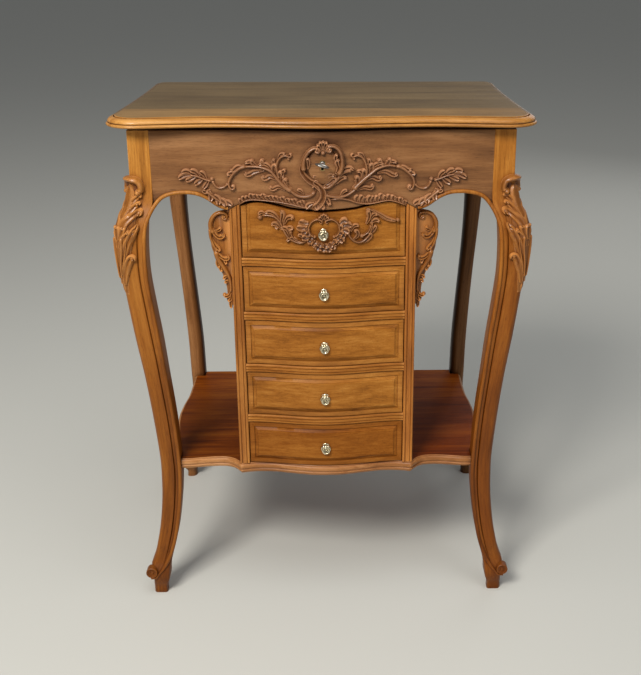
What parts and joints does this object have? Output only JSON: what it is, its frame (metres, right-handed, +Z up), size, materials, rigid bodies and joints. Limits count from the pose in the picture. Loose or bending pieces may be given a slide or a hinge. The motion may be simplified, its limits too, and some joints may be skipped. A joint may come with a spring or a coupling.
{
  "type": "sewing table",
  "caption": "Small carved walnut sewing table: lift-up top over a divided compartment, a stack of bowed drawers with ring pulls, cabriole legs and a low shelf.",
  "frame": {"origin": "on the floor under the middle of the whole table", "axes": "+X to the right seen from the front, +Y to the back, +Z up; the drawers open towards -Y"},
  "size_m": [0.594, 0.4442, 0.757],
  "materials": {
    "walnut": "satin varnish",
    "top_walnut": "satin varnish, a little worn",
    "apron_walnut": "satin varnish",
    "shelf_walnut": "polished",
    "front_walnut": "satin varnish",
    "oak": "bare, waxed",
    "brass": "aged",
    "pull_brass": "pale, worn bright",
    "lock_steel": "dull",
    "screw_steel": "dull"
  },
  "bodies": {
    "frame": {"leg_front_left": "walnut", "leg_front_right": "walnut", "leg_rear_left": "walnut", "leg_rear_right": "walnut", "apron_front": "apron_walnut", "apron_back": "apron_walnut", "apron_left": "apron_walnut", "apron_right": "apron_walnut", "shelf": "shelf_walnut", "stile_left": "walnut", "stile_right": "walnut", "bracket_left": "walnut", "bracket_right": "walnut", "cabinet_side_left": "walnut", "cabinet_side_right": "walnut", "cabinet_back": "oak", "compartment_floor": "oak", "compartment_dividers": "oak", "drawer_rail_1": "walnut", "drawer_rail_2": "walnut", "drawer_rail_3": "walnut", "drawer_rail_4": "walnut", "drawer_runners": "oak", "lock_case": "lock_steel", "keyhole_escutcheon": "brass", "hinge_frame_leaves": "brass", "hinge_pins": "brass", "frame_screws": "screw_steel"},
    "lid": {"lid_board": "top_walnut", "hinge_lid_leaves": "brass", "lid_screws": "screw_steel", "link_plate": "lock_steel"},
    "lock_bolt": {"lock_bolt": "lock_steel"},
    "key": {"key": "lock_steel"},
    "drawer_1": {"drawer_1_front": "front_walnut", "drawer_1_box": "oak", "drawer_1_bottom": "oak", "drawer_1_pull_plate": "pull_brass"},
    "ring_1": {"drawer_1_ring": "pull_brass"},
    "drawer_2": {"drawer_2_front": "front_walnut", "drawer_2_box": "oak", "drawer_2_bottom": "oak", "drawer_2_pull_plate": "pull_brass"},
    "ring_2": {"drawer_2_ring": "pull_brass"},
    "drawer_3": {"drawer_3_front": "front_walnut", "drawer_3_box": "oak", "drawer_3_bottom": "oak", "drawer_3_pull_plate": "pull_brass"},
    "ring_3": {"drawer_3_ring": "pull_brass"},
    "drawer_4": {"drawer_4_front": "front_walnut", "drawer_4_box": "oak", "drawer_4_bottom": "oak", "drawer_4_pull_plate": "pull_brass"},
    "ring_4": {"drawer_4_ring": "pull_brass"},
    "drawer_5": {"drawer_5_front": "front_walnut", "drawer_5_box": "oak", "drawer_5_bottom": "oak", "drawer_5_pull_plate": "pull_brass"},
    "ring_5": {"drawer_5_ring": "pull_brass"}
  },
  "joints": [
    {"name": "lid_hinge", "type": "hinge", "parent": "frame", "child": "lid", "pos_m": [0, 0.17189, 0.7381], "axis": [-1, 0, 0], "range_deg": [0, 95]},
    {"name": "key_turn", "type": "hinge", "parent": "frame", "child": "key", "pos_m": [0, -0.19611, 0.695], "axis": [0, 1, 0], "range_deg": [0, 148]},
    {"name": "bolt_slide", "type": "slide", "parent": "frame", "child": "lock_bolt", "axis": [1, 0, 0], "range_m": [0, 0.012]},
    {"name": "drawer_1_slide", "type": "slide", "parent": "frame", "child": "drawer_1", "axis": [0, -1, 0], "range_m": [0, 0.24]},
    {"name": "drawer_2_slide", "type": "slide", "parent": "frame", "child": "drawer_2", "axis": [0, -1, 0], "range_m": [0, 0.24]},
    {"name": "drawer_3_slide", "type": "slide", "parent": "frame", "child": "drawer_3", "axis": [0, -1, 0], "range_m": [0, 0.24]},
    {"name": "drawer_4_slide", "type": "slide", "parent": "frame", "child": "drawer_4", "axis": [0, -1, 0], "range_m": [0, 0.24]},
    {"name": "drawer_5_slide", "type": "slide", "parent": "frame", "child": "drawer_5", "axis": [0, -1, 0], "range_m": [0, 0.24]},
    {"name": "ring_1_swing", "type": "hinge", "parent": "drawer_1", "child": "ring_1", "pos_m": [0, -0.20261, 0.5992], "axis": [-1, 0, 0], "range_deg": [0, 100]},
    {"name": "ring_2_swing", "type": "hinge", "parent": "drawer_2", "child": "ring_2", "pos_m": [0, -0.20261, 0.5102], "axis": [-1, 0, 0], "range_deg": [0, 100]},
    {"name": "ring_3_swing", "type": "hinge", "parent": "drawer_3", "child": "ring_3", "pos_m": [0, -0.20261, 0.4282], "axis": [-1, 0, 0], "range_deg": [0, 100]},
    {"name": "ring_4_swing", "type": "hinge", "parent": "drawer_4", "child": "ring_4", "pos_m": [0, -0.20261, 0.3462], "axis": [-1, 0, 0], "range_deg": [0, 100]},
    {"name": "ring_5_swing", "type": "hinge", "parent": "drawer_5", "child": "ring_5", "pos_m": [0, -0.20261, 0.2642], "axis": [-1, 0, 0], "range_deg": [0, 100]}
  ],
  "couplings": [
    {"joint": "bolt_slide", "follows": "key_turn", "m_per_rad": 0.0046456}
  ]
}
